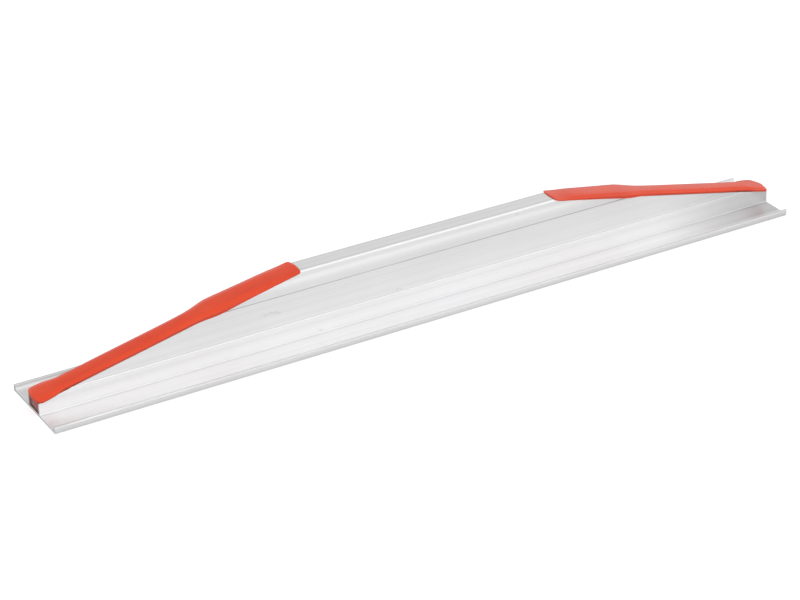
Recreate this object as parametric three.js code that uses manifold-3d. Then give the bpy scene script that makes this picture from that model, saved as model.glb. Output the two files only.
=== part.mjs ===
// Trapezoidal aluminium darby: a long hand-held float for levelling plaster, render and screed.
// One extruded aluminium body (flat sole, upstanding lip on each long edge, hollow central rib cut
// away in a slope towards each end) and one moulded plastic grip seated on each slope.
//
// Frame, millimetres: origin at the centre of the sole's underside, +X along the length,
// +Y across the sole, +Z up. The part is symmetric about X = 0 and about Y = 0.

import * as THREE from "three";
import { mergeVertices } from "three/addons/utils/BufferGeometryUtils.js";
import Module from "manifold-3d";

// ---- body dimensions: Y values are half widths, Z values heights above the underside ----------
const LENGTH = 1000;
const SOLE_HALF = 54.7;
const SOLE_T = 2.3; // thickness
const SOLE_EDGE_R = 0.7; // rounding of the lower long edges

const LIP_H = 8.0;
const LIP_CREST_R = 1.75; // half thickness of a lip at its crest
const LIP_FILLET_R = 5.5; // hollow between lip and sole

const RIB_TOP = 88.3;
const RIB_WALL = 1.8;
const RIB_TOP_WALL = 2.0;
const RIB_STEP_WALL = 1.9; // wall at the top of the lowest chamber
const RIB_FOOT = 14.6; // half width where the walls meet the sole
const RIB_FOOT_R = 2.0; // fillet at the foot
const STEP_Z = 24.3; // small step in the walls
const STEP_OUT = 13.75; // half width just under the step
const STEP_H = 0.8;
const STEP_KNEE_IN = 0.12; // the bend part way up the step: inwards ...
const STEP_KNEE_UP = 0.35; // ... and upwards from its lower edge
const BODY_OUT = 13.2; // half width above the step
const GROOVE_Z = 63.5; // V-shaped groove along each wall
const GROOVE_HALF = 0.55; // half its opening
const GROOVE_DEPTH = 0.8;
const WAIST_Z0 = 73.6; // the walls draw in between these two heights
const WAIST_Z1 = 81.6;
const WAIST_STEPS = 6;
const HEAD_OUT = 12.5; // half width above the waist
const HEAD_R = 2.4; // rounding of the upper edges
const WEB_T = 1.5; // cross webs inside the rib
const WEB_Z = [24.8, GROOVE_Z]; // their centre heights

// ---- slope, shared by body and grips ----------------------------------------------------------
// "a" is a distance from the middle of the tool, measured along X towards either end.
const SEAT_A = 363; // a point of a grip's underside: distance from the middle ...
const SEAT_Z = 46.85; // ... and height
const SEAT_FALL = 0.2184; // fall per millimetre
const SEAT_GAP = 0.3; // vertical clearance between the cut rib and a grip
const SEAT_ANGLE = Math.atan(SEAT_FALL);
const SIN = Math.sin(SEAT_ANGLE);
const COS = Math.cos(SEAT_ANGLE);

// The waste prism overruns the rib on every open side.
const WASTE_INNER = 150; // inner end, where the slope is already above the rib
const WASTE_OVER_END = 5;
const WASTE_OVER_TOP = 30;
const WASTE_HALF = 30; // half width

// ---- grip dimensions --------------------------------------------------------------------------
const GRIP_TIP = 172.8; // a of the upper end, at its middle
const GRIP_END = 501.3; // a of the lower end, at its middle
const TIP_BOW = 2.8; // how far the upper end is bowed out over its width
const END_BOW = 3.4; // the same at the lower end
const BOW_HALF = 16; // half width over which a bow is measured
const BOW_START = 0.06; // keeps the outermost section from closing to a point
const BOW_REACH = 12; // length of an end zone, beyond which the bow has no effect
const CORNER_POWER = 16; // blend of bow and side; higher gives sharper plan corners

const END_ROUND_LENGTH = 0.9; // rounded-over end edge: length ...
const END_ROUND_DROP = 0.7; // ... and drop
const DROP_START = 14; // half width at which the lower side edge starts to drop
const DROP_BLEND = 2; // further half width over which the full drop is reached

const FACET = 5.5; // width of the side facets
const FACET_SPREAD = 0.35; // extra facet width per millimetre beyond NARROW_HALF
const NARROW_HALF = 13.3; // half width of the narrow part
const FACET_INNER_MIN = 2; // least half width between the facets
const FACET_BLEND = 0.9; // half width of the soft bend at a facet's inner edge
const SIDE_MIN = 0.7; // least height of the side
const FACET_RISE_MIN = 0.3; // least rise of a facet
const CROWN_RISE = 0.36; // rise from a facet's inner edge to the middle
const FLANK_IN = 13.5; // inner limit of the part that overhangs the rib
const FLANK_MIN = 0.9; // least width of that part

// Hollows in the underside: from a, to a, depth.
const CORES = [
  [200, 284, 1.6],
  [300, 440, 2.2],
];
const CORE_HALF = 7.6;
const CORE_OVERCUT = 2;

// Pairs of keys, each pair in one chamber of the rib: from a, to a, outer faces at +-y.
const KEYS = [
  [186, 254, 10.3],
  [296, 430, 11.0],
  [471, 496, 11.0],
];
const KEY_T = 2.2;
const KEY_DEPTH = 5.0;
const KEY_OVERLAP = 0.6; // run into the grip

// End wall that closes the open end of the rib.
const PLUG_X0 = 495.0;
const PLUG_X1 = 498.0;
const PLUG_BOTTOM = 3.4;
const PLUG_HALF = 11.8;
const PLUG_OVERLAP = 1; // run into the grip

// Grip sections. Heights are measured square to the seat.
// a, half width, drop of the lower side edge, height of the side, height of facet's inner edge
const STATIONS = [
  [172, 15.8, 1.1, 0.3, 0.8],
  [180, 15.9, 1, 0.4, 1],
  [188, 16.1, 0.8, 0.6, 1.5],
  [196, 16.3, 0.6, 1, 2.3],
  [204, 16.5, 0.4, 1.5, 3.1],
  [216, 16.8, 0.3, 1.9, 3.8],
  [232, 17, 0.1, 2.4, 4.4],
  [250, 17.4, 0.0, 2.9, 4.9],
  [262, 17.8, 0.0, 3.2, 5.2],
  [273, 18.2, 0.0, 3.5, 5.4],
  [281, 18.0, 0.0, 3.7, 5.5],
  [288, 16.9, 0.0, 3.7, 5.5],
  [295, 15.3, 0.0, 3.6, 5.4],
  [303, 14.1, 0.0, 3.2, 5.1],
  [314, 13.5, 0.0, 2.8, 4.8],
  [330, 13.3, 0.0, 2.6, 4.5],
  [345, 13.3, 0.0, 2.5, 4.4],
  [400, 13.3, 0.0, 2.5, 4.4],
  [430, 13.1, 0.0, 2.5, 4.5],
  [442, 13.0, -0.2, 2.5, 4.5],
  [452, 12.9, -0.6, 2.6, 4.6],
  [460, 12.9, -0.8, 2.7, 4.6],
  [467, 12.9, -0.8, 2.7, 4.6],
  [473, 14.5, -0.8, 2.8, 4.5],
  [479, 16.2, -0.8, 2.8, 4.3],
  [485, 17.1, -0.8, 2.8, 4.2],
  [492, 17.6, -0.8, 2.8, 4.1],
  [503, 17.9, -0.8, 2.8, 4.1],
];
// Further values of a at which the shell gets a ring, interpolated between stations.
const EXTRA_RINGS = [
  193, 208, 224, 241, 256, 275, 282.5, 289.5, 297, 306,
  328, 372, 422, 450, 461.5, 468.5, 475, 481,
];
// Rings near each end: distances from that end.
const END_RINGS = [0, 0.3, 0.8, 1.5, 2.4, 3.4, 4.4, 5.6, 7.5];
const END_RING_ZONE = 9; // no station rings this close to an end

// ---- finishes ---------------------------------------------------------------------------------
const aluminium = new THREE.MeshStandardMaterial({
  name: "mill_aluminium",
  color: 0xd9dadb,
  roughness: 0.32,
  metalness: 1.0,
});
const gripPlastic = new THREE.MeshStandardMaterial({
  name: "grip_plastic",
  color: 0xde4f2f,
  roughness: 0.42,
  metalness: 0.0,
});

// ---- solids -----------------------------------------------------------------------------------
const WELD_DISTANCE = 1e-4;

const wasm = await Module();
wasm.setup();

// Welds a geometry by position alone and drops collapsed triangles, to get a closed solid.
function toSolid(geometry) {
  const bare = new THREE.BufferGeometry();
  bare.setAttribute("position", geometry.attributes.position);
  bare.setIndex(geometry.index);
  const welded = mergeVertices(bare, WELD_DISTANCE);
  const index = welded.index.array;
  const kept = [];
  for (let i = 0; i < index.length; i += 3) {
    const [p, q, r] = index.slice(i, i + 3);
    if (p !== q && q !== r && r !== p) kept.push(p, q, r);
  }
  return new wasm.Manifold(
    new wasm.Mesh({
      numProp: 3,
      vertProperties: new Float32Array(welded.attributes.position.array),
      triVerts: new Uint32Array(kept),
    }),
  );
}

function toGeometry(solid) {
  const mesh = solid.getMesh();
  const geometry = new THREE.BufferGeometry();
  const positions = new Float32Array(mesh.vertProperties);
  geometry.setAttribute("position", new THREE.BufferAttribute(positions, 3));
  geometry.setIndex(new THREE.BufferAttribute(new Uint32Array(mesh.triVerts), 1));
  geometry.computeVertexNormals();
  return geometry;
}

function extrude(shape, depth) {
  return new THREE.ExtrudeGeometry(shape, { depth, bevelEnabled: false, steps: 1 });
}

// Height of a grip's underside.
const seatZ = (a) => SEAT_Z - SEAT_FALL * (a - SEAT_A);

// ---- aluminium body ---------------------------------------------------------------------------
// Points of an arc about (cy, cz), from one angle to another in degrees.
function arc(cy, cz, radius, from, to, segments) {
  const points = [];
  for (let i = 0; i <= segments; i++) {
    const angle = THREE.MathUtils.degToRad(from + ((to - from) * i) / segments);
    points.push([cy + radius * Math.cos(angle), cz + radius * Math.sin(angle)]);
  }
  return points;
}

// The +Y half of an outline followed by its mirror image.
function mirrored(half) {
  const otherHalf = half.map(([y, z]) => [-y, z]).reverse();
  return [...half, ...otherHalf];
}

const toVectors = (points) => points.map(([y, z]) => new THREE.Vector2(y, z));

// +Y half of the outer contour, from the sole's lower long edge up to the rib's upper edge.
function outerHalf() {
  const { radToDeg } = THREE.MathUtils;
  // lip and its fillet touch where the line between their centres crosses them
  const lipY = SOLE_HALF - LIP_CREST_R;
  const lipZ = LIP_H - LIP_CREST_R;
  const filletZ = SOLE_T + LIP_FILLET_R;
  const reach = LIP_CREST_R + LIP_FILLET_R;
  const filletY = lipY - Math.sqrt(reach ** 2 - (filletZ - lipZ) ** 2);
  const lean = radToDeg(Math.atan2(filletZ - lipZ, filletY - lipY));
  // the foot fillet is tangent to the sole and to the leaning wall
  const wallAngle = Math.atan2(STEP_Z - SOLE_T, RIB_FOOT - STEP_OUT);
  const footY = RIB_FOOT + RIB_FOOT_R * Math.tan(wallAngle / 2);
  const footEnd = 180 + radToDeg(Math.PI / 2 - wallAngle);

  const waist = [];
  for (let i = 0; i <= WAIST_STEPS; i++) {
    const t = i / WAIST_STEPS;
    const ease = t * t * (3 - 2 * t);
    waist.push([
      BODY_OUT + (HEAD_OUT - BODY_OUT) * ease,
      WAIST_Z0 + (WAIST_Z1 - WAIST_Z0) * t,
    ]);
  }
  return [
    ...arc(SOLE_HALF - SOLE_EDGE_R, SOLE_EDGE_R, SOLE_EDGE_R, -90, 0, 3),
    ...arc(lipY, lipZ, LIP_CREST_R, 0, lean, 8),
    ...arc(filletY, filletZ, LIP_FILLET_R, lean - 180, -90, 6).slice(1),
    ...arc(footY, SOLE_T + RIB_FOOT_R, RIB_FOOT_R, 270, footEnd, 4),
    // step
    [STEP_OUT, STEP_Z],
    [STEP_OUT - STEP_KNEE_IN, STEP_Z + STEP_KNEE_UP],
    [BODY_OUT, STEP_Z + STEP_H],
    // groove
    [BODY_OUT, GROOVE_Z - GROOVE_HALF],
    [BODY_OUT - GROOVE_DEPTH, GROOVE_Z],
    [BODY_OUT, GROOVE_Z + GROOVE_HALF],
    ...waist,
    ...arc(HEAD_OUT - HEAD_R, RIB_TOP - HEAD_R, HEAD_R, 0, 90, 6),
  ];
}

// A chamber of the rib between two heights, with its half widths at bottom and top.
function chamber([z0, z1, y0, y1, radius]) {
  const half = [
    ...arc(y0 - radius, z0 + radius, radius, -90, 0, 2),
    ...arc(y1 - radius, z1 - radius, radius, 0, 90, 2),
  ];
  return new THREE.Path(toVectors(mirrored(half)));
}

function bodySection() {
  const inside = BODY_OUT - RIB_WALL;
  const [lowWeb, highWeb] = WEB_Z;
  const halfWeb = WEB_T / 2;
  // bottom, top, half width at bottom, half width at top, corner radius
  const chambers = [
    [SOLE_T, lowWeb - halfWeb, RIB_FOOT - RIB_WALL, STEP_OUT - RIB_STEP_WALL, 1.0],
    [lowWeb + halfWeb, highWeb - halfWeb, inside, inside, 1.0],
    [highWeb + halfWeb, RIB_TOP - RIB_TOP_WALL, inside, HEAD_OUT - RIB_WALL, 1.2],
  ];
  const section = new THREE.Shape(toVectors(mirrored(outerHalf())));
  section.holes.push(...chambers.map(chamber));
  return section;
}

// The waste above a sloped seat, as a prism across the rib.
function slopeWaste(sign) {
  const outer = LENGTH / 2 + WASTE_OVER_END;
  const top = RIB_TOP + WASTE_OVER_TOP;
  const outline = [
    [sign * outer, seatZ(outer) - SEAT_GAP],
    [sign * outer, top],
    [sign * WASTE_INNER, top],
    [sign * WASTE_INNER, seatZ(WASTE_INNER) - SEAT_GAP],
  ];
  const prism = extrude(new THREE.Shape(toVectors(outline)), 2 * WASTE_HALF);
  prism.rotateX(Math.PI / 2); // drawn in (X, Z), thickness across Y
  prism.translate(0, WASTE_HALF, 0);
  return toSolid(prism);
}

function floatExtrusion() {
  const bar = extrude(bodySection(), LENGTH);
  // the section is drawn in (Y, Z) and drawn out along X
  bar.applyMatrix4(
    new THREE.Matrix4().makeBasis(
      new THREE.Vector3(0, 1, 0),
      new THREE.Vector3(0, 0, 1),
      new THREE.Vector3(1, 0, 0),
    ),
  );
  bar.translate(-LENGTH / 2, 0, 0);
  return toSolid(bar).subtract(slopeWaste(1)).subtract(slopeWaste(-1));
}

// ---- grips: sign is 1 for the +X end, -1 for the -X end ---------------------------------------
function stationAt(a) {
  let i = 0;
  while (i < STATIONS.length - 2 && a > STATIONS[i + 1][0]) i++;
  const before = STATIONS[i];
  const after = STATIONS[i + 1];
  const t = (a - before[0]) / (after[0] - before[0]);
  return before.map((value, k) => value + (after[k] - value) * t);
}

// Half width with the bowed ends and their softened plan corners worked in.
function bowedHalf(a, fullHalf) {
  const fromTip = a - GRIP_TIP;
  const fromEnd = GRIP_END - a;
  const nearest = Math.min(fromTip, fromEnd);
  if (nearest > BOW_REACH) return fullHalf;
  const depth = fromTip < fromEnd ? TIP_BOW : END_BOW;
  const bow = BOW_HALF * ((nearest + BOW_START) / depth) ** (1 / 3);
  return (fullHalf ** -CORNER_POWER + bow ** -CORNER_POWER) ** (-1 / CORNER_POWER);
}

// Closed section of a grip as [y, height above the seat], starting on the +Y underside.
function gripSection(a) {
  const [, fullHalf, drop, side, top] = stationAt(a);
  const half = bowedHalf(a, fullHalf);
  const nearest = Math.min(a - GRIP_TIP, GRIP_END - a);
  const soft =
    nearest < END_ROUND_LENGTH
      ? END_ROUND_DROP * (1 - nearest / END_ROUND_LENGTH) ** 2
      : 0;
  // the lower edge only drops where it stands clear of the rib's side
  const clear = THREE.MathUtils.clamp((half - DROP_START) / DROP_BLEND, 0, 1);
  const low = -drop * (drop > 0 ? clear : 1);
  const high = Math.max(low + SIDE_MIN, side - soft);
  const ridge = Math.max(high + FACET_RISE_MIN, top - soft);
  const facet = FACET + (fullHalf - NARROW_HALF) * FACET_SPREAD;
  const inner = Math.max(FACET_INNER_MIN, half - facet);
  // the small offsets break the lower edge, the upper edge and the facet's inner edge
  const points = [
    [Math.min(FLANK_IN, half - FLANK_MIN), 0],
    [half - 0.4, low],
    [half, low + 0.3],
    [half, high - 0.35],
    [half - 0.45, high],
    [inner + FACET_BLEND, ridge - 0.12],
    [inner - FACET_BLEND, ridge + 0.08],
    [inner * 0.45, ridge + 0.3],
  ];
  const otherHalf = points.map(([y, h]) => [-y, h]).reverse();
  return [...points, [0, ridge + CROWN_RISE], ...otherHalf];
}

function ringPlaces() {
  const inMiddle = (a) => a > GRIP_TIP + END_RING_ZONE && a < GRIP_END - END_RING_ZONE;
  const places = [
    ...END_RINGS.map((d) => GRIP_TIP + d),
    ...STATIONS.map(([a]) => a).filter(inMiddle),
    ...EXTRA_RINGS,
    ...END_RINGS.map((d) => GRIP_END - d),
  ];
  return [...new Set(places)].sort((p, q) => p - q);
}

// A point of a grip: distance a from the middle, y across, height square to the seat.
function place(sign, a, y, height) {
  return [sign * (a + height * SIN), y, seatZ(a) + height * COS];
}

// Outer skin of a grip: rings joined by quads, each end closed by a fan.
function gripShell(sign) {
  const rings = ringPlaces().map((a) =>
    gripSection(a).map(([y, height]) => place(sign, a, y, height)),
  );
  const size = rings[0].length;
  const last = rings.length - 1;
  const fanCentre = (ring) => {
    const bottom = ring[0];
    const crown = ring[(size - 1) / 2];
    return [(bottom[0] + crown[0]) / 2, 0, (bottom[2] + crown[2]) / 2];
  };
  const points = [...rings.flat(), fanCentre(rings[0]), fanCentre(rings[last])];
  const tipCentre = rings.length * size;
  const endCentre = tipCentre + 1;

  const triangles = [];
  // mirroring turns triangles inside out, so the -X grip winds the other way
  const face = (p, q, r) => triangles.push(...(sign > 0 ? [p, q, r] : [p, r, q]));
  for (let i = 0; i < last; i++) {
    for (let k = 0; k < size; k++) {
      const next = (k + 1) % size;
      const here = i * size;
      const beyond = here + size;
      face(here + k, here + next, beyond + next);
      face(here + k, beyond + next, beyond + k);
    }
  }
  for (let k = 0; k < size; k++) {
    const next = (k + 1) % size;
    face(tipCentre, next, k);
    face(endCentre, last * size + k, last * size + next);
  }
  const geometry = new THREE.BufferGeometry();
  geometry.setAttribute("position", new THREE.Float32BufferAttribute(points.flat(), 3));
  geometry.setIndex(triangles);
  return toSolid(geometry);
}

// A block lying along the seat: a0 to a1 along, y0 to y1 across, h0 to h1 above it.
function seatBlock(sign, [a0, a1], [y0, y1], [h0, h1]) {
  const box = new THREE.BoxGeometry(1, 1, 1);
  const corners = box.attributes.position;
  for (let i = 0; i < corners.count; i++) {
    const a = corners.getX(i) < 0 ? a0 : a1;
    const y = corners.getY(i) < 0 ? y0 : y1;
    const height = corners.getZ(i) < 0 ? h0 : h1;
    corners.setXYZ(i, ...place(1, a, y, height));
  }
  if (sign < 0) box.rotateZ(Math.PI);
  return toSolid(box);
}

function endWall(sign) {
  const top = seatZ(PLUG_X1) + PLUG_OVERLAP;
  const box = new THREE.BoxGeometry(PLUG_X1 - PLUG_X0, 2 * PLUG_HALF, top - PLUG_BOTTOM);
  box.translate((sign * (PLUG_X0 + PLUG_X1)) / 2, 0, (PLUG_BOTTOM + top) / 2);
  return toSolid(box);
}

function grip(sign) {
  let solid = gripShell(sign);
  for (const [a0, a1, depth] of CORES) {
    const core = seatBlock(sign, [a0, a1], [-CORE_HALF, CORE_HALF], [-CORE_OVERCUT, depth]);
    solid = solid.subtract(core);
  }
  for (const [a0, a1, outer] of KEYS) {
    const inner = outer - KEY_T;
    for (const across of [[-outer, -inner], [inner, outer]]) {
      solid = solid.add(seatBlock(sign, [a0, a1], across, [-KEY_DEPTH, KEY_OVERLAP]));
    }
  }
  return solid.add(endWall(sign));
}

// ---- assembly ---------------------------------------------------------------------------------
const darby = new THREE.Group();
darby.name = "trapezoidal_darby";

function addPiece(name, solid, material) {
  const mesh = new THREE.Mesh(toGeometry(solid), material);
  mesh.name = name;
  darby.add(mesh);
}

addPiece("float_extrusion", floatExtrusion(), aluminium);
addPiece("grip_left", grip(-1), gripPlastic);
addPiece("grip_right", grip(1), gripPlastic);

export default darby;
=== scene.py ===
import math

import bmesh
import bpy
import numpy as np
from mathutils import Matrix, Vector
from mathutils.geometry import delaunay_2d_cdt


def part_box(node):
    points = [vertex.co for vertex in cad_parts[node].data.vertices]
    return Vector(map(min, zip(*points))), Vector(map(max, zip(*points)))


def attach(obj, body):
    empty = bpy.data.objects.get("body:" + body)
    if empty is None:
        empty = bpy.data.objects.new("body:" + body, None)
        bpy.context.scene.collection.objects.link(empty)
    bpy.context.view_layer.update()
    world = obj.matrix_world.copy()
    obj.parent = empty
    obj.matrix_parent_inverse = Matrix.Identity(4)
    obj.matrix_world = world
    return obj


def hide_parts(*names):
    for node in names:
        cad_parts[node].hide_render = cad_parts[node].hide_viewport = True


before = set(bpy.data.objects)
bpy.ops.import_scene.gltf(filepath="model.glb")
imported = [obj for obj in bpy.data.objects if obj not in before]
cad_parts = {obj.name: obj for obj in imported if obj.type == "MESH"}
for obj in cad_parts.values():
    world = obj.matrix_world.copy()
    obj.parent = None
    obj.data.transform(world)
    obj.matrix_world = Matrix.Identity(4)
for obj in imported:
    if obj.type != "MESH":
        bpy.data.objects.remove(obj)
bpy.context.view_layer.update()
MM = 0.001

# ---- extrusion dimensions, millimetres; "OUT" is a distance from the middle plane y = 0 ---------
body_low, body_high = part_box("float_extrusion")
LENGTH = round((body_high.x - body_low.x) / MM, 3)
SOLE_HALF = round(body_high.y / MM, 3)
RIB_TOP = round(body_high.z / MM, 3)
SOLE_T = 2.3
SOLE_EDGE_R = 0.7
LIP_H = 8.0
LIP_CREST_R = 1.75
LIP_FILLET_R = 5.5
RIB_WALL = 1.8
RIB_FOOT_OUT = 14.6
RIB_FOOT_R = 2.0
STEP_Z = 24.3
STEP_OUT = 13.75
BODY_OUT = 13.2
GROOVE_Z = 63.5
GROOVE_HALF = 0.55
GROOVE_DEPTH = 0.8
WAIST_Z0 = 73.6
WAIST_Z1 = 81.6
HEAD_OUT = 12.5
HEAD_R = 2.4
WEB_T = 1.5
WEB_Z = (24.8, GROOVE_Z)  # mid-heights of the two webs between the chambers
EDGE_BREAK = 0.18  # the sawn edges are broken by this much
MAX_RUN = 6.0  # longest step between points of the section
BODY_RINGS = 121

# The seat is the sloping plane under each grip: SEAT_Z high at SEAT_X from the middle.
SEAT_X = 363.0
SEAT_Z = 46.85
SEAT_FALL = 0.2184  # drop per unit of length
SEAT_GAP = 0.3  # the metal is cut this far below the seat


def seat_z(along):
    """Height of the seat at a distance from the middle of the tool."""
    return SEAT_Z - SEAT_FALL * (along - SEAT_X)


CUT_END_Z = seat_z(LENGTH / 2) - SEAT_GAP  # where the sloping cut meets the square end


# ---- mesh helpers ------------------------------------------------------------------------------
def add_object(name, mesh):
    obj = bpy.data.objects.new(name, mesh)
    bpy.context.scene.collection.objects.link(obj)
    return obj


def mesh_object(name, verts, faces, materials):
    mesh = bpy.data.meshes.new(name)
    mesh.from_pydata([tuple(v) for v in verts], [], faces)
    mesh.validate()
    for mat in materials:
        mesh.materials.append(mat)
    return add_object(name, mesh)


def shade(obj, sharp_degrees):
    obj.data.shade_smooth()
    obj.data.set_sharp_from_angle(angle=math.radians(sharp_degrees))


def register(obj, cad_piece):
    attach(obj, "root")
    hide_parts(cad_piece)


# ---- node helpers ------------------------------------------------------------------------------
class Nodes:
    """Short calls for building a node tree."""

    def __init__(self, tree):
        self.tree = tree
        tree.nodes.clear()

    def new(self, kind, **props):
        node = self.tree.nodes.new(kind)
        for key, value in props.items():
            setattr(node, key, value)
        return node

    def put(self, socket, value):
        """Links another node's output to a socket, or sets the socket's value."""
        if isinstance(value, bpy.types.NodeSocket):
            self.tree.links.new(value, socket)
        else:
            socket.default_value = value

    def fill(self, node, values):
        for socket, value in zip(node.inputs, values):
            self.put(socket, value)
        return node.outputs[0]

    def math(self, operation, *operands):
        return self.fill(self.new("ShaderNodeMath", operation=operation), operands)

    def times(self, first, second):
        return self.math("MULTIPLY", first, second)

    def plus(self, base, field, amount):
        """base + field * amount"""
        return self.math("MULTIPLY_ADD", field, amount, base)

    def vary(self, base, field, amount):
        """base + (field - 0.5) * amount, for a field that swings about 0.5"""
        return self.plus(base, self.math("SUBTRACT", field, 0.5), amount)

    def apart(self, value, centre):
        return self.math("ABSOLUTE", self.math("SUBTRACT", value, centre))

    def ramp(self, value, start, end, low=0.0, high=1.0, kind="SMOOTHSTEP"):
        """Runs from low at start to high at end, held flat outside; start may exceed end."""
        node = self.new("ShaderNodeMapRange", interpolation_type=kind, clamp=True)
        return self.fill(node, (value, start, end, low, high))

    def mapped(self, vector, scale, location):
        node = self.new("ShaderNodeMapping", vector_type="POINT")
        self.put(node.inputs["Vector"], vector)
        node.inputs["Scale"].default_value = scale
        node.inputs["Location"].default_value = location
        return node.outputs[0]

    def noise(self, vector, detail, roughness, scale=1.0, stretch=None, shift=0.0):
        """Noise; stretch gives a frequency per axis, and shift moves the pattern along X."""
        if stretch:
            vector = self.mapped(vector, scale=stretch, location=(shift, 0.0, 0.0))
        node = self.new("ShaderNodeTexNoise")
        self.put(node.inputs["Vector"], vector)
        node.inputs["Scale"].default_value = scale
        node.inputs["Detail"].default_value = detail
        node.inputs["Roughness"].default_value = roughness
        return node.outputs["Fac"]

    def mix(self, factor, first, second, blend="MIX"):
        node = self.new("ShaderNodeMix", data_type="RGBA", blend_type=blend)
        self.put(node.inputs[0], factor)
        self.put(node.inputs[6], first)
        self.put(node.inputs[7], second)
        return node.outputs[2]

    def bump(self, height, strength, distance):
        node = self.new("ShaderNodeBump")
        self.put(node.inputs["Height"], height)
        node.inputs["Strength"].default_value = strength
        node.inputs["Distance"].default_value = distance
        return node.outputs[0]

    def length(self, vector):
        node = self.new("ShaderNodeVectorMath", operation="LENGTH")
        self.put(node.inputs[0], vector)
        return node.outputs["Value"]

    def object_coords(self):
        return self.new("ShaderNodeTexCoord").outputs["Object"]

    def xyz(self, vector):
        node = self.new("ShaderNodeSeparateXYZ")
        self.put(node.inputs[0], vector)
        return node.outputs

    def combine(self, x, y, z):
        return self.fill(self.new("ShaderNodeCombineXYZ"), (x, y, z))


def new_material(name):
    """A material with an empty node tree and its output node."""
    mat = bpy.data.materials.new(name)
    mat.use_nodes = True
    nodes = Nodes(mat.node_tree)
    return mat, nodes, nodes.new("ShaderNodeOutputMaterial")


def principled_material(name):
    mat, nodes, output = new_material(name)
    bsdf = nodes.new("ShaderNodeBsdfPrincipled")
    nodes.put(output.inputs[0], bsdf.outputs[0])
    return mat, nodes, bsdf


# ---- mill-finish aluminium (lengths in materials are metres) -----------------------------------
ALU_BASE = 0.915
ALU_ROUGH = 0.38
ALU_ANISO = 0.8
# how much each painted shade, and the darkening at the +X end, darkens the metal
FOOT_SHADE = 0.13
LIP_SHADE = 0.245
EDGE_SHADE = 0.10
GROOVE_SHADE = 0.34
END_DARKEN = 0.24

# handling scuffs: centre x, y, z, then reach in x and in z
SCUFFS = (
    (-0.044, -0.0134, 0.0290, 0.0060, 0.0016),
    (-0.052, -0.0134, 0.0275, 0.0020, 0.0010),
    (0.119, -0.0125, 0.0828, 0.0040, 0.0012),
    (-0.150, -0.0140, 0.0060, 0.0035, 0.0020),
    (-0.214, -0.0134, 0.0455, 0.0130, 0.0022),
    (-0.205, -0.0134, 0.0430, 0.0060, 0.0016),
)
SCUFF_REACH_Y = 0.004


def scuff_mask(nodes, coords):
    """Short darker marks, broken up by a fine grain."""
    marks = None
    for x, y, z, reach_x, reach_z in SCUFFS:
        local = nodes.mapped(
            coords,
            scale=(1 / reach_x, 1 / SCUFF_REACH_Y, 1 / reach_z),
            location=(-x / reach_x, -y / SCUFF_REACH_Y, -z / reach_z),
        )
        mark = nodes.ramp(nodes.length(local), start=1.3, end=0.2)
        marks = mark if marks is None else nodes.math("MAXIMUM", marks, mark)
    grain = nodes.noise(coords, stretch=(260, 900, 900), detail=3.0, roughness=0.7)
    return nodes.times(marks, nodes.ramp(grain, start=0.42, end=0.62))


def painted_shading(nodes, coords, side, z):
    """Painted shade: darkens the metal in its corners, in the groove and on some rounded edges;
    side is the distance from the middle plane.
    """
    # painted shade along the foot of the rib, around the corner at this y and z
    corner_y = nodes.math("SUBTRACT", side, 0.0150)
    corner_z = nodes.math("SUBTRACT", z, 0.0026)
    foot = nodes.length(nodes.combine(0.0, corner_y, corner_z))
    painted_shade = nodes.times(nodes.ramp(foot, start=0.0040, end=0.0008), FOOT_SHADE)
    # painted shade on the upward faces inside the lips
    up = nodes.xyz(nodes.new("ShaderNodeNewGeometry").outputs["True Normal"])[2]
    near_lip = nodes.ramp(side, start=0.0460, end=0.0535)
    lip = nodes.times(near_lip, nodes.ramp(up, start=0.02, end=0.35))
    painted_shade = nodes.plus(painted_shade, lip, LIP_SHADE)
    # weaker painted shade on the head's rounded edges, dimming their highlight
    near_top = nodes.ramp(z, start=0.0858, end=0.0874)
    edge = nodes.times(near_top, nodes.ramp(side, start=0.0070, end=0.0092))
    painted_shade = nodes.plus(painted_shade, edge, EDGE_SHADE)
    # and on the rib's step, dimming its highlight
    near_step = nodes.ramp(nodes.apart(z, 0.0251), start=0.0018, end=0.0009)
    step = nodes.times(near_step, nodes.ramp(side, start=0.0125, end=0.0131))
    painted_shade = nodes.plus(painted_shade, step, EDGE_SHADE)
    # painted shade in the scribed groove, below the surface of the wall
    in_groove = nodes.ramp(nodes.apart(z, GROOVE_Z * MM), start=0.00062, end=0.00042)
    wall = BODY_OUT * MM
    below_wall = nodes.ramp(side, start=wall - 0.00002, end=wall - 0.00012)
    painted_shade = nodes.plus(painted_shade, nodes.times(in_groove, below_wall), GROOVE_SHADE)
    patches = nodes.noise(coords, stretch=(14, 160, 160), shift=6.2, detail=3.0, roughness=0.6)
    return nodes.times(painted_shade, nodes.ramp(patches, start=0.15, end=0.5))


def end_darkening(nodes, cloud, x, side):
    """Darkens the last hand's breadth at the +X end, much less so along the sole's edges."""
    reach = nodes.vary(x, cloud, amount=0.03)
    end_darkness = nodes.times(nodes.ramp(reach, start=0.32, end=0.49), END_DARKEN)
    near_edge = nodes.ramp(side, start=0.0385, end=0.0425)
    return nodes.times(end_darkness, nodes.plus(1.0, near_edge, amount=-0.85))


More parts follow.
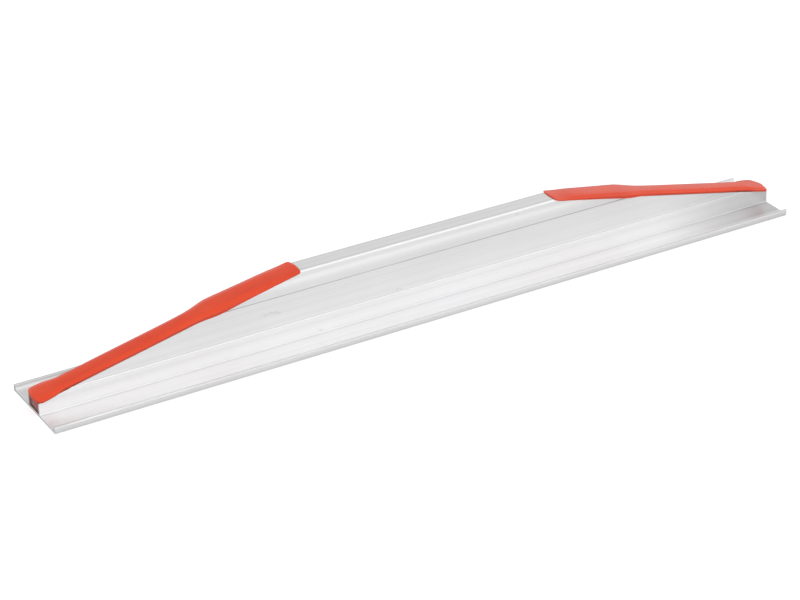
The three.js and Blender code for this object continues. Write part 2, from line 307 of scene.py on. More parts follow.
def mill_aluminium():
    mat, nodes, bsdf = principled_material("aluminium_mill")
    coords = nodes.object_coords()
    # die lines drawn out along the tool, in three widths, then soft clouds and hairlines
    lines = nodes.noise(coords, stretch=(1.2, 900, 900), detail=3.0, roughness=0.65)
    bands = nodes.noise(coords, stretch=(0.9, 210, 210), shift=3.1, detail=2.0, roughness=0.5)
    broad = nodes.noise(coords, stretch=(0.6, 42, 42), shift=7.7, detail=1.0, roughness=0.5)
    cloud = nodes.noise(coords, stretch=(5.0, 16, 16), shift=1.3, detail=3.0, roughness=0.55)
    hairs = nodes.noise(coords, stretch=(9.0, 1500, 1500), shift=2.4, detail=2.0, roughness=0.7)
    tone = nodes.vary(0.0, bands, amount=0.10)
    tone = nodes.vary(tone, broad, amount=0.10)
    tone = nodes.vary(tone, lines, amount=0.10)
    tone = nodes.vary(tone, cloud, amount=0.06)
    scuffs = scuff_mask(nodes, coords)
    # sparse fine scratches, a little across the die lines
    scratches = nodes.noise(
        coords, stretch=(28, 420, 520), shift=5.0, detail=2.0, roughness=0.6
    )
    scratches = nodes.ramp(scratches, start=0.66, end=0.74)
    base = nodes.math("ADD", ALU_BASE, tone)
    base = nodes.plus(base, scuffs, amount=-0.22)
    base = nodes.plus(base, scratches, amount=-0.05)
    x, y, z = nodes.xyz(coords)
    side = nodes.math("ABSOLUTE", y)
    # painted shade in corners, in the groove and on some edges, then the darkening at the +X end
    painted_shade = painted_shading(nodes, coords, side, z)
    end_darkness = end_darkening(nodes, cloud, x, side)
    undarkened = nodes.math("SUBTRACT", 1.0, nodes.math("ADD", painted_shade, end_darkness))
    base = nodes.times(base, undarkened)
    # the clouds drift between a warm and a cool tint
    warm = (1.0, 0.985, 0.985, 1.0)
    cool = (0.985, 0.99, 1.0, 1.0)
    tint = nodes.mix(cloud, warm, cool)
    colour = nodes.mix(1.0, nodes.combine(base, base, base), tint, blend="MULTIPLY")
    nodes.put(bsdf.inputs["Base Color"], colour)
    bsdf.inputs["Metallic"].default_value = 1.0
    rough = nodes.vary(ALU_ROUGH, cloud, amount=0.10)
    rough = nodes.vary(rough, bands, amount=0.08)
    rough = nodes.plus(rough, scuffs, amount=0.2)
    nodes.put(bsdf.inputs["Roughness"], rough)
    bsdf.inputs["Anisotropic"].default_value = ALU_ANISO
    bsdf.inputs["Anisotropic Rotation"].default_value = 0.25
    nodes.put(bsdf.inputs["Tangent"], nodes.combine(1.0, 0.0, 0.0))
    height = nodes.plus(nodes.times(bands, 0.6), lines, amount=0.5)
    height = nodes.plus(height, hairs, amount=0.25)
    height = nodes.plus(height, scratches, amount=-0.5)
    nodes.put(bsdf.inputs["Normal"], nodes.bump(height, strength=0.35, distance=0.00002))
    return mat


def sawn_aluminium():
    mat, nodes, bsdf = principled_material("aluminium_sawn")
    coords = nodes.object_coords()
    # saw marks: close lines across the cut, slightly curved by the blade
    warp = nodes.noise(coords, stretch=(20, 20, 20), detail=1.0, roughness=0.5)
    _, y, z = nodes.xyz(coords)
    curved = nodes.plus(z, nodes.times(y, y), amount=3.0)
    curved = nodes.plus(curved, warp, amount=0.0006)
    # frequencies along and across the marks
    mark_coords = nodes.combine(0.0, nodes.times(y, 60.0), nodes.times(curved, 1500.0))
    marks = nodes.noise(mark_coords, detail=2.0, roughness=0.6)
    fine = nodes.noise(coords, stretch=(900, 900, 2600), detail=2.0, roughness=0.6)
    base = nodes.vary(ALU_BASE - 0.04, marks, amount=0.22)
    bluer = nodes.times(base, 1.01)
    nodes.put(bsdf.inputs["Base Color"], nodes.combine(base, base, bluer))
    bsdf.inputs["Metallic"].default_value = 1.0
    nodes.put(bsdf.inputs["Roughness"], nodes.plus(0.30, marks, amount=0.2))
    height = nodes.plus(marks, fine, amount=0.3)
    nodes.put(bsdf.inputs["Normal"], nodes.bump(height, strength=0.6, distance=0.00006))
    return mat


# ---- moulded orange-red plastic ----------------------------------------------------------------
GRIP_ROUGH = 0.30
GRIP_COLOUR = (0.79, 0.056, 0.008, 1.0)
GRIP_COLOUR_DEEP = (0.73, 0.049, 0.007, 1.0)
GRIP_COLOUR_LIGHT = (0.84, 0.075, 0.016, 1.0)
RUBBED_SHEEN_COLOUR = (0.86, 0.11, 0.04, 1.0)
FLANK_SHADE_COLOUR = (0.32, 0.035, 0.015, 1.0)
END_WALL_SHADE_COLOUR = (0.30, 0.024, 0.022, 1.0)
LOW_END_WALL_SHADE_COLOUR = (0.26, 0.14, 0.12, 1.0)


def grip_plastic():
    mat, nodes, bsdf = principled_material("grip_moulded_plastic")
    coords = nodes.object_coords()
    fine_grain = nodes.noise(coords, scale=2600.0, detail=1.0, roughness=0.5)
    grain = nodes.noise(coords, scale=900.0, detail=2.0, roughness=0.6)
    flow = nodes.noise(coords, stretch=(9.0, 60, 60), detail=3.0, roughness=0.55)
    cloud = nodes.noise(coords, scale=18.0, detail=3.0, roughness=0.6)
    normal = nodes.new("ShaderNodeNewGeometry").outputs["Normal"]
    streaks = nodes.ramp(flow, start=0.3, end=0.7)
    colour = nodes.mix(streaks, GRIP_COLOUR, GRIP_COLOUR_DEEP)
    light = nodes.times(nodes.ramp(cloud, start=0.45, end=0.75), 0.35)
    colour = nodes.mix(light, colour, GRIP_COLOUR_LIGHT)
    # the crown a little paler in patches: partly rubbing where palms slide, partly a painted
    # highlight on the up-facing faces
    crown = nodes.ramp(nodes.xyz(normal)[2], start=0.93, end=0.99)
    patches = nodes.noise(coords, stretch=(22, 70, 70), shift=4.4, detail=3.0, roughness=0.6)
    rub_and_sheen = nodes.times(crown, nodes.ramp(patches, start=0.50, end=0.72))
    colour = nodes.mix(nodes.times(rub_and_sheen, 0.16), colour, RUBBED_SHEEN_COLOUR)
    # painted shade on the flanks, in cloudy patches
    flank = nodes.ramp(nodes.xyz(normal)[2], start=0.84, end=0.1)
    flank_shade = nodes.times(flank, nodes.ramp(cloud, start=0.1, end=0.6))
    colour = nodes.mix(nodes.times(flank_shade, 0.42), colour, FLANK_SHADE_COLOUR)
    # painted shade on the end walls inside the sawn ends of the rib, browner low down
    x, _, z = nodes.xyz(coords)
    out = nodes.math("ABSOLUTE", x)
    past_inner = nodes.ramp(out, start=0.4940, end=0.4970)
    wall = nodes.times(past_inner, nodes.ramp(out, start=0.4984, end=0.4981))
    wall = nodes.times(wall, nodes.ramp(z, start=0.0185, end=0.0165))
    wall = nodes.times(wall, nodes.ramp(flow, start=0.1, end=0.5))
    colour = nodes.mix(nodes.times(wall, 0.65), colour, END_WALL_SHADE_COLOUR)
    # browner painted shade on the lowest part of the end walls
    low = nodes.times(wall, nodes.ramp(z, start=0.0125, end=0.0060))
    colour = nodes.mix(nodes.times(low, 0.75), colour, LOW_END_WALL_SHADE_COLOUR)
    nodes.put(bsdf.inputs["Base Color"], colour)
    rough = nodes.vary(GRIP_ROUGH, cloud, amount=0.16)
    rough = nodes.vary(rough, grain, amount=0.10)
    nodes.put(bsdf.inputs["Roughness"], rough)
    bsdf.inputs["Specular IOR Level"].default_value = 0.5
    bsdf.inputs["IOR"].default_value = 1.49
    height = nodes.plus(nodes.times(fine_grain, 0.3), grain, amount=0.7)
    nodes.put(bsdf.inputs["Normal"], nodes.bump(height, strength=0.18, distance=0.00003))
    return mat


MILL_ALUMINIUM = mill_aluminium()
SAWN_ALUMINIUM = sawn_aluminium()
GRIP_PLASTIC = grip_plastic()


# ---- the extrusion's section: loops of (y, z), millimetres -------------------------------------
def arc(centre_y, centre_z, radius, start, end, steps):
    points = []
    for i in range(steps + 1):
        angle = math.radians(start + (end - start) * i / steps)
        points.append(
            (centre_y + radius * math.cos(angle), centre_z + radius * math.sin(angle))
        )
    return points


def outer_half():
    """The +Y half of the outer contour, underside to top."""
    # the sole's lower edge, the lip's crest and the fillet down to the sole's top
    lip_y = SOLE_HALF - LIP_CREST_R
    lip_z = LIP_H - LIP_CREST_R
    fillet_z = SOLE_T + LIP_FILLET_R
    reach = LIP_CREST_R + LIP_FILLET_R
    fillet_y = lip_y - math.sqrt(reach**2 - (fillet_z - lip_z) ** 2)
    lean = math.degrees(math.atan2(fillet_z - lip_z, fillet_y - lip_y))
    points = arc(SOLE_HALF - SOLE_EDGE_R, SOLE_EDGE_R, SOLE_EDGE_R, -90, 0, 6)
    points += arc(lip_y, lip_z, LIP_CREST_R, 0, lean, 16)
    points += arc(fillet_y, fillet_z, LIP_FILLET_R, lean - 180, -90, 12)[1:]
    # the fillet at the rib's foot, turning into the leaning lower wall
    wall_lean = math.atan2(STEP_Z - SOLE_T, RIB_FOOT_OUT - STEP_OUT)
    foot_y = RIB_FOOT_OUT + RIB_FOOT_R * math.tan(wall_lean / 2)
    foot_end = 180 + math.degrees(math.pi / 2 - wall_lean)
    points += arc(foot_y, SOLE_T + RIB_FOOT_R, RIB_FOOT_R, 270, foot_end, 9)
    # small rounded step
    points += [
        (STEP_OUT, STEP_Z),
        (STEP_OUT - 0.05, STEP_Z + 0.2),
        (STEP_OUT - 0.16, STEP_Z + 0.42),
        (BODY_OUT + 0.16, STEP_Z + 0.66),
        (BODY_OUT + 0.03, STEP_Z + 0.84),
        (BODY_OUT, STEP_Z + 1.1),
    ]
    # scribed groove with softened edges
    points += [
        (BODY_OUT, GROOVE_Z - GROOVE_HALF - 0.10),
        (BODY_OUT - 0.06, GROOVE_Z - GROOVE_HALF),
        (BODY_OUT - GROOVE_DEPTH + 0.16, GROOVE_Z - 0.26),
        (BODY_OUT - GROOVE_DEPTH, GROOVE_Z - 0.1),
        (BODY_OUT - GROOVE_DEPTH, GROOVE_Z + 0.1),
        (BODY_OUT - GROOVE_DEPTH + 0.16, GROOVE_Z + 0.26),
        (BODY_OUT - 0.06, GROOVE_Z + GROOVE_HALF),
        (BODY_OUT, GROOVE_Z + GROOVE_HALF + 0.10),
    ]
    # the wall eases in to the head, which has rounded edges
    for i in range(15):
        share = i / 14
        ease = share * share * (3 - 2 * share)
        y = BODY_OUT + (HEAD_OUT - BODY_OUT) * ease
        points.append((y, WAIST_Z0 + (WAIST_Z1 - WAIST_Z0) * share))
    points += arc(HEAD_OUT - HEAD_R, RIB_TOP - HEAD_R, HEAD_R, 0, 90, 14)
    return points


def mirrored(half):
    return half + [(-y, z) for y, z in reversed(half)]


def chamber(bottom, top, bottom_out, top_out, radius):
    return mirrored(
        arc(bottom_out - radius, bottom + radius, radius, -90, 0, 5)
        + arc(top_out - radius, top - radius, radius, 0, 90, 5)
    )


def chambers():
    """The three hollows, from the sole up."""
    inner = BODY_OUT - RIB_WALL
    low_web, high_web = WEB_Z
    half_web = WEB_T / 2
    return [
        chamber(
            SOLE_T, low_web - half_web,
            RIB_FOOT_OUT - RIB_WALL, STEP_OUT - RIB_WALL - 0.1, 1.0,
        ),
        chamber(low_web + half_web, high_web - half_web, inner, inner, 1.0),
        chamber(
            high_web + half_web, RIB_TOP - RIB_WALL - 0.2,
            inner, HEAD_OUT - RIB_WALL, 1.2,
        ),
    ]


def split_long(loop):
    """Adds points where a loop crosses CUT_END_Z, and along its long straight runs."""
    points = []
    for k, (y0, z0) in enumerate(loop):
        y1, z1 = loop[(k + 1) % len(loop)]
        points.append((y0, z0))
        cuts = set()
        if (z0 - CUT_END_Z) * (z1 - CUT_END_Z) < 0:
            cuts.add((CUT_END_Z - z0) / (z1 - z0))
        steps = int(math.hypot(y1 - y0, z1 - z0) // MAX_RUN) + 1
        cuts |= {i / steps for i in range(1, steps)}
        for share in sorted(cuts):
            points.append((y0 + (y1 - y0) * share, z0 + (z1 - z0) * share))
    return points


def loop_normals(loop, sign):
    """Normals out of the metal at each point; sign is 1 for the outer loop, -1 for a hollow."""
    normals = []
    for k, point in enumerate(loop):
        before = np.array(point) - np.array(loop[k - 1])
        after = np.array(loop[(k + 1) % len(loop)]) - np.array(point)
        before /= np.linalg.norm(before) or 1
        after /= np.linalg.norm(after) or 1
        normal_before = np.array([before[1], -before[0]])
        normal_after = np.array([after[1], -after[0]])
        normal = normal_before + normal_after
        normal /= max(1e-9, np.linalg.norm(normal))
        # lengthened at corners so that the inset keeps its distance from both sides
        normal /= max(0.5, float(normal @ normal_after))
        normals.append(normal * sign)
    return normals


def at_cut_end(point):
    return abs(point[1] - CUT_END_Z) < 1e-6


def inset_point(point, normal):
    """Moved into the metal by the edge break, but kept at CUT_END_Z if it lies there."""
    y = point[0] - normal[0] * EDGE_BREAK
    z = point[1] - normal[1] * EDGE_BREAK
    return (y, CUT_END_Z if at_cut_end(point) else z)


def inside(point, loop):
    """Even-odd test of a point against a closed loop."""
    hit = False
    for a, b in zip(loop, loop[1:] + loop[:1]):
        if (a[1] > point[1]) != (b[1] > point[1]):
            if point[0] < a[0] + (b[0] - a[0]) * (point[1] - a[1]) / (b[1] - a[1]):
                hit = not hit
    return hit


def cut_face(outline, inset, ranges):
    """Triangles over the metal of the cut face, anticlockwise seen from +X."""
    edges = []
    for start, count in ranges:
        edges += [(start + k, start + (k + 1) % count) for k in range(count)]
    # an edge across each side wall, where the face turns from square to sloping
    crossing = [k for k, p in enumerate(outline) if at_cut_end(p)]
    crossing.sort(key=lambda k: outline[k][0])
    edges += [(crossing[0], crossing[1]), (crossing[2], crossing[3])]
    _, _, triangles, origins, _, _ = delaunay_2d_cdt(
        [Vector(p) for p in inset], edges, [], 0, 1e-7
    )
    outer, *hollows = [inset[start : start + count] for start, count in ranges]
    faces = []
    for triangle in triangles:
        ids = [origins[k][0] for k in triangle]
        a, b, c = [inset[k] for k in ids]
        centre = np.mean([a, b, c], axis=0)
        if not inside(centre, outer) or any(inside(centre, h) for h in hollows):
            continue
        area = (b[0] - a[0]) * (c[1] - a[1]) - (c[0] - a[0]) * (b[1] - a[1])
        faces.append(ids if area > 0 else ids[::-1])
    return faces


def half_length(z):
    """Half the extrusion's length at a height: full up to CUT_END_Z, shorter above."""
    if z <= CUT_END_Z:
        return LENGTH / 2
    return SEAT_X + (SEAT_Z - SEAT_GAP - z) / SEAT_FALL


def build_extrusion():
    outline, normals, ranges = [], [], []
    for i, loop in enumerate([mirrored(outer_half())] + chambers()):
        loop = split_long(loop)
        ranges.append((len(outline), len(loop)))
        outline += loop
        normals += loop_normals(loop, 1.0 if i == 0 else -1.0)
    inset = [inset_point(p, normal) for p, normal in zip(outline, normals)]

    # rings from -X to +X: the section between two inset rings, which break the sawn edges
    end_x = [half_length(z) for _, z in inset]
    body_x = [half_length(z) - EDGE_BREAK for _, z in outline]
    verts = [(-x, y, z) for x, (y, z) in zip(end_x, inset)]
    for i in range(BODY_RINGS):
        share = -1 + 2 * i / (BODY_RINGS - 1)
        verts += [(share * x, y, z) for x, (y, z) in zip(body_x, outline)]
    verts += [(x, y, z) for x, (y, z) in zip(end_x, inset)]

    faces, slots = [], []
    size = len(outline)
    last = BODY_RINGS + 1
    for ring in range(last):
        a = ring * size
        b = a + size
        for start, count in ranges:
            for k in range(count):
                i, j = start + k, start + (k + 1) % count
                quad = [a + i, a + j, b + j, b + i]
                faces.append(quad[::-1] if start == 0 else quad)
                slots.append(0 if 0 < ring < last - 1 else 1)
    for triangle in cut_face(outline, inset, ranges):
        faces.append([last * size + k for k in triangle])
        faces.append(triangle[::-1])
        slots += [1, 1]

    obj = mesh_object(
        "extrusion_body", np.array(verts) * MM, faces, [MILL_ALUMINIUM, SAWN_ALUMINIUM]
    )
    obj.data.polygons.foreach_set("material_index", slots)
    bm = bmesh.new()
    bm.from_mesh(obj.data)
    bmesh.ops.recalc_face_normals(bm, faces=bm.faces)
    bm.to_mesh(obj.data)
    bm.free()
    shade(obj, 28)
    register(obj, "float_extrusion")


build_extrusion()

# ---- grips, millimetres: "along" runs from the middle, heights stand square to the seat ---------
SEAT_ANGLE = math.atan(SEAT_FALL)
SEAT_SIN, SEAT_COS = math.sin(SEAT_ANGLE), math.cos(SEAT_ANGLE)
GRIP_START = 172.8
GRIP_END = 501.3
START_BOW = 2.8  # length over which each end's outline rounds in
END_BOW = 3.4
BOW_HALF = 16  # half width the rounding reaches at that length
BOW_ZONE = 12  # the rounding is worked out this near an end
END_R = 0.9  # rounding of the upper edges at each end
FACET = 5.5
WAIST_HALF = 13.3  # half width the facet is set by
FLANK_IN = 13.5
CROWN = 0.36
CORNER_RADII = [0.30, 0.55, 1.1, 12.0]
CORNER_STEPS = 6
# along, half width, drop of the lower side edge, height of the side, of the facet's inner edge
STATIONS = np.array([
    [172, 15.8, 1.1, 0.3, 0.8],
    [180, 15.9, 1.0, 0.4, 1.0],
    [188, 16.1, 0.8, 0.6, 1.5],
    [196, 16.3, 0.6, 1.0, 2.3],
    [204, 16.5, 0.4, 1.5, 3.1],
    [216, 16.8, 0.3, 1.9, 3.8],
    [232, 17.0, 0.1, 2.4, 4.4],
    [250, 17.4, 0.0, 2.9, 4.9],
    [262, 17.8, 0.0, 3.2, 5.2],
    [273, 18.2, 0.0, 3.5, 5.4],
    [281, 18.0, 0.0, 3.7, 5.5],
    [288, 16.9, 0.0, 3.7, 5.5],
    [295, 15.3, 0.0, 3.6, 5.4],
    [303, 14.1, 0.0, 3.2, 5.1],
    [314, 13.5, 0.0, 2.8, 4.8],
    [330, 13.3, 0.0, 2.6, 4.5],
    [345, 13.3, 0.0, 2.5, 4.4],
    [400, 13.3, 0.0, 2.5, 4.4],
    [430, 13.1, 0.0, 2.5, 4.5],
    [442, 13.0, -0.2, 2.5, 4.5],
    [452, 12.9, -0.6, 2.6, 4.6],
    [460, 12.9, -0.8, 2.7, 4.6],
    [467, 12.9, -0.8, 2.7, 4.6],
    [473, 14.5, -0.8, 2.8, 4.5],
    [479, 16.2, -0.8, 2.8, 4.3],
    [485, 17.1, -0.8, 2.8, 4.2],
    [492, 17.6, -0.8, 2.8, 4.1],
    [503, 17.9, -0.8, 2.8, 4.1],
])
# distances of the close-set rings from each end, then the even spacing between them
END_RINGS = [
    0, 0.03, 0.08, 0.18, 0.32, 0.5, 0.7, 0.9, 1.2, 1.6,
    2.0, 2.5, 3.0, 3.5, 4.0, 4.5, 5.0, 5.6, 6.3,
]
RING_SPACING = 1.6
# recesses in the underside: from, to, depth
RECESSES = ((200, 284, 1.6), (300, 440, 2.2))
RECESS_HALF = 7.6
# pairs of rails under the grip: from, to, outer face's distance from the middle plane
RAILS = ((186, 254, 10.3), (296, 430, 11.0), (471, 496, 11.0))
RAIL_T = 2.2
# upright wall closing the hollow rib just inside its sawn end
END_WALL_X = (495.0, 498.0)
END_WALL_HALF = 11.8
END_WALL_Z = 3.4
BOX_FACES = [
    [0, 1, 2, 3], [7, 6, 5, 4], [0, 4, 5, 1],
    [1, 5, 6, 2], [2, 6, 7, 3], [3, 7, 4, 0],
]


def monotone_slopes(x, values):
    """Fritsch-Carlson slopes at each station."""
    gap = np.diff(x)[:, None]
    secant = np.diff(values, axis=0) / gap
    slopes = np.zeros_like(values)
    slopes[0], slopes[-1] = secant[0], secant[-1]
    for i in range(1, len(x) - 1):
        w1, w2 = 2 * gap[i] + gap[i - 1], gap[i] + 2 * gap[i - 1]
        same = secant[i - 1] * secant[i] > 0
        with np.errstate(divide="ignore", invalid="ignore"):
            mean = (w1 + w2) / (w1 / secant[i - 1] + w2 / secant[i])
        slopes[i] = np.where(same, mean, 0.0)
    return slopes


STATION_SLOPES = monotone_slopes(STATIONS[:, 0], STATIONS[:, 1:])


def station_values(along):
    """Monotone cubic through the stations."""
    x = STATIONS[:, 0]
    y = STATIONS[:, 1:]
    i = min(len(x) - 2, max(0, int(np.searchsorted(x, along) - 1)))
    gap = x[i + 1] - x[i]
    t = (along - x[i]) / gap
    return (
        (2 * t**3 - 3 * t**2 + 1) * y[i]
        + (t**3 - 2 * t**2 + t) * gap * STATION_SLOPES[i]
        + (-2 * t**3 + 3 * t**2) * y[i + 1]
        + (t**3 - t**2) * gap * STATION_SLOPES[i + 1]
    )


def filleted(points, radii, steps):
    """A polyline with its inner corners rounded; the number of points out is fixed."""
    rounded = [points[0]]
    for k in range(1, len(points) - 1):
        corner = np.array(points[k])
        back = np.array(points[k - 1]) - corner
        ahead = np.array(points[k + 1]) - corner
        back_length, ahead_length = np.linalg.norm(back), np.linalg.norm(ahead)
        back, ahead = back / max(back_length, 1e-9), ahead / max(ahead_length, 1e-9)
        half_angle = math.acos(float(np.clip(back @ ahead, -1, 1))) / 2
        trim = radii[k - 1] / max(1e-6, math.tan(half_angle))
        trim = min(trim, 0.48 * back_length, 0.48 * ahead_length)
        for i in range(steps + 1):
            s = i / steps
            rounded.append(tuple(corner + back * trim * (1 - s) ** 2 + ahead * trim * s**2))
    rounded.append(points[-1])
    return rounded


def grip_ring(along):
    """The grip's cross-section as (y, height), open along the underside."""
    full, drop, side, top = station_values(along)
    half = full
    end = min(along - GRIP_START, GRIP_END - along)
    if end < BOW_ZONE:
        bow_length = START_BOW if along < 340 else END_BOW
        bow = BOW_HALF * ((end + 0.06) / bow_length) ** (1 / 3)
        half = (half**-16 + bow**-16) ** (-1 / 16)  # smooth minimum of the two
    soft = 0.0
    if end < END_R:
        soft = END_R - math.sqrt(max(0.0, END_R**2 - (END_R - end) ** 2))
    # a downward drop fades out where the grip is narrow
    low = -drop * (min(1, max(0, (half - 14) / 2)) if drop > 0 else 1)
    high = max(low + 0.5, side - soft)
    ridge = max(high + 0.2, top - soft)
    inner = max(2, half - FACET - (full - WAIST_HALF) * 0.35)
    points = [
        (min(FLANK_IN, half - 0.9), 0.0),
        (half, low),
        (half, high),
        (inner, ridge),
        (inner * 0.5, ridge + CROWN * 0.8),
        (0.0, ridge + CROWN),
    ]
    ring = filleted(points, CORNER_RADII, CORNER_STEPS)
    return ring + [(-y, height) for y, height in reversed(ring[:-1])]


def on_seat(sign, along, y, height):
    """A point above the seat; sign is -1 for the -X grip, 1 for the +X grip."""
    return (sign * (along + height * SEAT_SIN), y, seat_z(along) + height * SEAT_COS)


def grip_shell(sign):
    stations = [GRIP_START + d for d in END_RINGS] + [GRIP_END - d for d in END_RINGS]
    along = GRIP_START + 7.5
    while along < GRIP_END - 7:
        stations.append(along)
        along += RING_SPACING
    rings = [
        [on_seat(sign, a, y, height) for y, height in grip_ring(a)]
        for a in sorted(set(stations))
    ]
    size = len(rings[0])
    verts = [p for ring in rings for p in ring]
    faces = []
    for start in range(0, len(verts) - size, size):
        for k in range(size):
            i, j = start + k, start + (k + 1) % size
            faces.append([i, j, j + size, i + size])
    # one polygon closes each end
    faces.append(list(range(size))[::-1])
    faces.append(list(range(len(verts) - size, len(verts))))
    return verts, faces


def corners(y0, y1, low, high):
    return ((y0, low), (y1, low), (y1, high), (y0, high))


def seat_block(sign, start, end, section):
    """Corners of a block lying along the seat."""
    return [on_seat(sign, along, y, h) for along in (start, end) for y, h in section]


def grip_blocks(sign):
    """Blocks cut from or joined to the shell: corners, boolean operation, bevel."""
    blocks = []
    for start, end, depth in RECESSES:
        section = corners(-RECESS_HALF, RECESS_HALF, -2, depth)
        blocks.append((seat_block(sign, start, end, section), "DIFFERENCE", 0.5))
    for start, end, out in RAILS:
        for side in (-1, 1):
            y0, y1 = sorted((side * out, side * (out - RAIL_T)))
            section = corners(y0, y1, -5.0, 0.6)
            blocks.append((seat_block(sign, start, end, section), "UNION", 0.3))
    section = corners(-END_WALL_HALF, END_WALL_HALF, END_WALL_Z, seat_z(END_WALL_X[1]) + 1)
    wall = [(sign * x, y, z) for x in END_WALL_X for y, z in section]
    blocks.append((wall, "UNION", 0.4))
    return blocks


def temp_object(verts, faces, bevel=0.0):
    """An operand for the booleans, from millimetres, removed once they are done."""
    mesh = bpy.data.meshes.new("tmp")
    mesh.from_pydata([tuple(c * MM for c in v) for v in verts], [], faces)
    bm = bmesh.new()
    bm.from_mesh(mesh)
    if bevel:
        bmesh.ops.bevel(
            bm, geom=bm.edges[:], offset=bevel * MM, segments=2, affect="EDGES", profile=0.6
        )
    bmesh.ops.recalc_face_normals(bm, faces=bm.faces)
    bm.to_mesh(mesh)
    bm.free()
    return add_object("tmp", mesh)


def build_grip(name, cad_piece, sign):
    shell = temp_object(*grip_shell(sign))
    temps = [shell]
    for verts, operation, bevel in grip_blocks(sign):
        block = temp_object(verts, BOX_FACES, bevel)
        modifier = shell.modifiers.new("op", "BOOLEAN")
        modifier.operation = operation
        modifier.solver = "EXACT"
        modifier.object = block
        temps.append(block)
    bpy.context.view_layer.update()
    mesh = bpy.data.meshes.new_from_object(
        shell.evaluated_get(bpy.context.evaluated_depsgraph_get())
    )
    for temp in temps:
        bpy.data.objects.remove(temp)
    mesh.name = name
    mesh.materials.clear()
    mesh.materials.append(GRIP_PLASTIC)
    mesh.polygons.foreach_set("material_index", [0] * len(mesh.polygons))
    obj = add_object(name, mesh)
    # writing the mesh back from bmesh leaves out built-in attributes that hold only zeros
    bm = bmesh.new()
    bm.from_mesh(mesh)
    bm.to_mesh(mesh)
    bm.free()
    shade(obj, 40)
    register(obj, cad_piece)


build_grip("grip_left_moulding", "grip_left", -1)
build_grip("grip_right_moulding", "grip_right", 1)

# ---- floor and light ---------------------------------------------------------------------------
# Radiance of the studio dome by elevation (rows) and compass direction (columns), in degrees.
# Compass angles are from the front (-Y), positive towards +X.
DOME_ELEVATION = [8, 32, 60, 90]
DOME_COMPASS = [-180, -90, -15, 32, 50, 90, 180]
DOME = [
    [1.00, 0.94, 1.31, 1.55, 1.18, 0.95, 1.00],
    [0.48, 0.93, 1.31, 1.55, 1.18, 0.78, 0.48],
    [0.52, 1.02, 1.24, 1.24, 1.03, 1.00, 0.52],
    [0.97] * 7,
]
# Radiance of the floor to all but camera rays, by y (rows) and x (columns), metres.
FLOOR_Y = [-1.0, -0.36, -0.13, -0.075, -0.058, 0.06, 0.4]
FLOOR_X = [-0.62, -0.45, 0.30, 0.55, 0.9]
# the lower values next to the tool and behind it are a painted shadow in the floor's glow
FLOOR = [
    [0.66, 0.83, 0.83, 0.72, 0.61],
    [0.66, 0.85, 0.85, 0.72, 0.61],
    [0.56, 0.77, 0.77, 0.70, 0.64],
    [0.58, 0.70, 0.70, 0.64, 0.58],
    [0.58, 0.55, 0.55, 0.55, 0.53],
    [0.40, 0.40, 0.40, 0.36, 0.36],
    [0.45, 0.45, 0.45, 0.42, 0.42],
]
FLOOR_GREY = (0.9, 0.9, 0.9, 1.0)
FLOOR_GLOW = 0.35  # light the floor adds of its own in the camera's view
FLOOR_HALF = 9
FLOOR_Z = -0.0004
WHITE = (1.0, 1.0, 1.0, 1.0)


def hat(nodes, value, knots, i):
    """1 at knot i, falling straight to 0 at its neighbours, held flat past the end knots."""
    if i > 0:
        rise = nodes.ramp(value, start=knots[i - 1], end=knots[i], kind="LINEAR")
        if i == len(knots) - 1:
            return rise
    fall = nodes.ramp(
        value, start=knots[i], end=knots[i + 1], low=1.0, high=0.0, kind="LINEAR"
    )
    return nodes.math("MINIMUM", rise, fall) if i > 0 else fall


def add_weighted(nodes, total, weight, value):
    if total is None:
        return nodes.times(weight, value)
    return nodes.math("MULTIPLY_ADD", weight, value, total)


def table_lookup(nodes, row_value, row_knots, column_value, column_knots, table, name):
    """Bilinear look-up of a table."""
    weights = [hat(nodes, column_value, column_knots, j) for j in range(len(column_knots))]
    total = None
    for i, entries in enumerate(table):
        row = None
        for j, entry in enumerate(entries):
            node = nodes.new("ShaderNodeValue", name=f"{name}_{i}_{j}")
            node.outputs[0].default_value = entry
            row = add_weighted(nodes, row, weights[j], node.outputs[0])
        total = add_weighted(nodes, total, hat(nodes, row_value, row_knots, i), row)
    return total


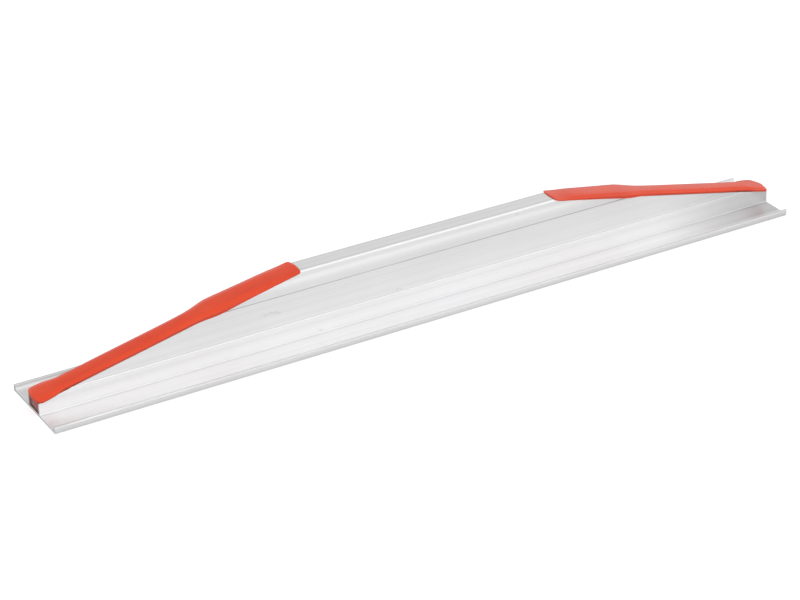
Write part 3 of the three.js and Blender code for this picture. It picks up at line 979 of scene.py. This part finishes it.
def floor_material():
    """Plain pale floor to the camera, the radiance table to every other ray."""
    mat, nodes, output = new_material("studio_floor")
    x, y, _ = nodes.xyz(nodes.object_coords())
    diffuse = nodes.new("ShaderNodeBsdfDiffuse")
    diffuse.inputs[0].default_value = FLOOR_GREY
    glow = nodes.new("ShaderNodeEmission")
    nodes.fill(glow, (WHITE, FLOOR_GLOW))
    seen = nodes.new("ShaderNodeAddShader")
    nodes.fill(seen, (diffuse.outputs[0], glow.outputs[0]))
    level = table_lookup(nodes, y, FLOOR_Y, x, FLOOR_X, FLOOR, "floor")
    reflected = nodes.new("ShaderNodeEmission")
    nodes.fill(reflected, (nodes.combine(level, level, level), 1.0))
    to_camera = nodes.new("ShaderNodeLightPath").outputs["Is Camera Ray"]
    mix = nodes.new("ShaderNodeMixShader")
    nodes.fill(mix, (to_camera, reflected.outputs[0], seen.outputs[0]))
    nodes.put(output.inputs[0], mix.outputs[0])
    return mat


def build_floor():
    outline = ((-1, -1), (1, -1), (1, 1), (-1, 1))
    verts = [(x * FLOOR_HALF, y * FLOOR_HALF, FLOOR_Z) for x, y in outline]
    mesh_object("studio_floor", verts, [[0, 1, 2, 3]], [floor_material()])


def build_world():
    world = bpy.data.worlds.new("studio")
    bpy.context.scene.world = world
    world.use_nodes = True
    nodes = Nodes(world.node_tree)
    output = nodes.new("ShaderNodeOutputWorld")
    background = nodes.new("ShaderNodeBackground")
    nodes.put(output.inputs[0], background.outputs[0])
    x, y, z = nodes.xyz(nodes.new("ShaderNodeTexCoord").outputs["Generated"])
    degrees = 180 / math.pi
    elevation = nodes.times(nodes.math("ARCSINE", z), degrees)
    compass = nodes.math("ARCTAN2", x, nodes.times(y, -1.0))
    compass = nodes.times(compass, degrees)
    sky = table_lookup(
        nodes, elevation, DOME_ELEVATION, compass, DOME_COMPASS, DOME, "dome"
    )
    nodes.fill(background, (nodes.combine(sky, sky, sky), 1.0))


build_floor()
build_world()

# ---- camera ------------------------------------------------------------------------------------
CAMERA_PLACE = (-1.33699, -2.13755, 1.36764)
CAMERA_RIGHT = Vector((0.853601, -0.520924, -0.001603))
CAMERA_FORWARD = Vector((0.456916, 0.750186, -0.477964))


def build_camera():
    data = bpy.data.cameras.new("camera")
    data.sensor_width = 36.0
    data.lens = 109.47
    data.clip_end = 50
    camera = add_object("camera", data)
    axes = Matrix((CAMERA_RIGHT, CAMERA_RIGHT.cross(CAMERA_FORWARD), -CAMERA_FORWARD))
    camera.matrix_world = Matrix.Translation(CAMERA_PLACE) @ axes.transposed().to_4x4()
    bpy.context.scene.camera = camera


build_camera()
bpy.context.scene.view_settings.view_transform = "Standard"
bpy.context.scene.view_settings.look = "None"
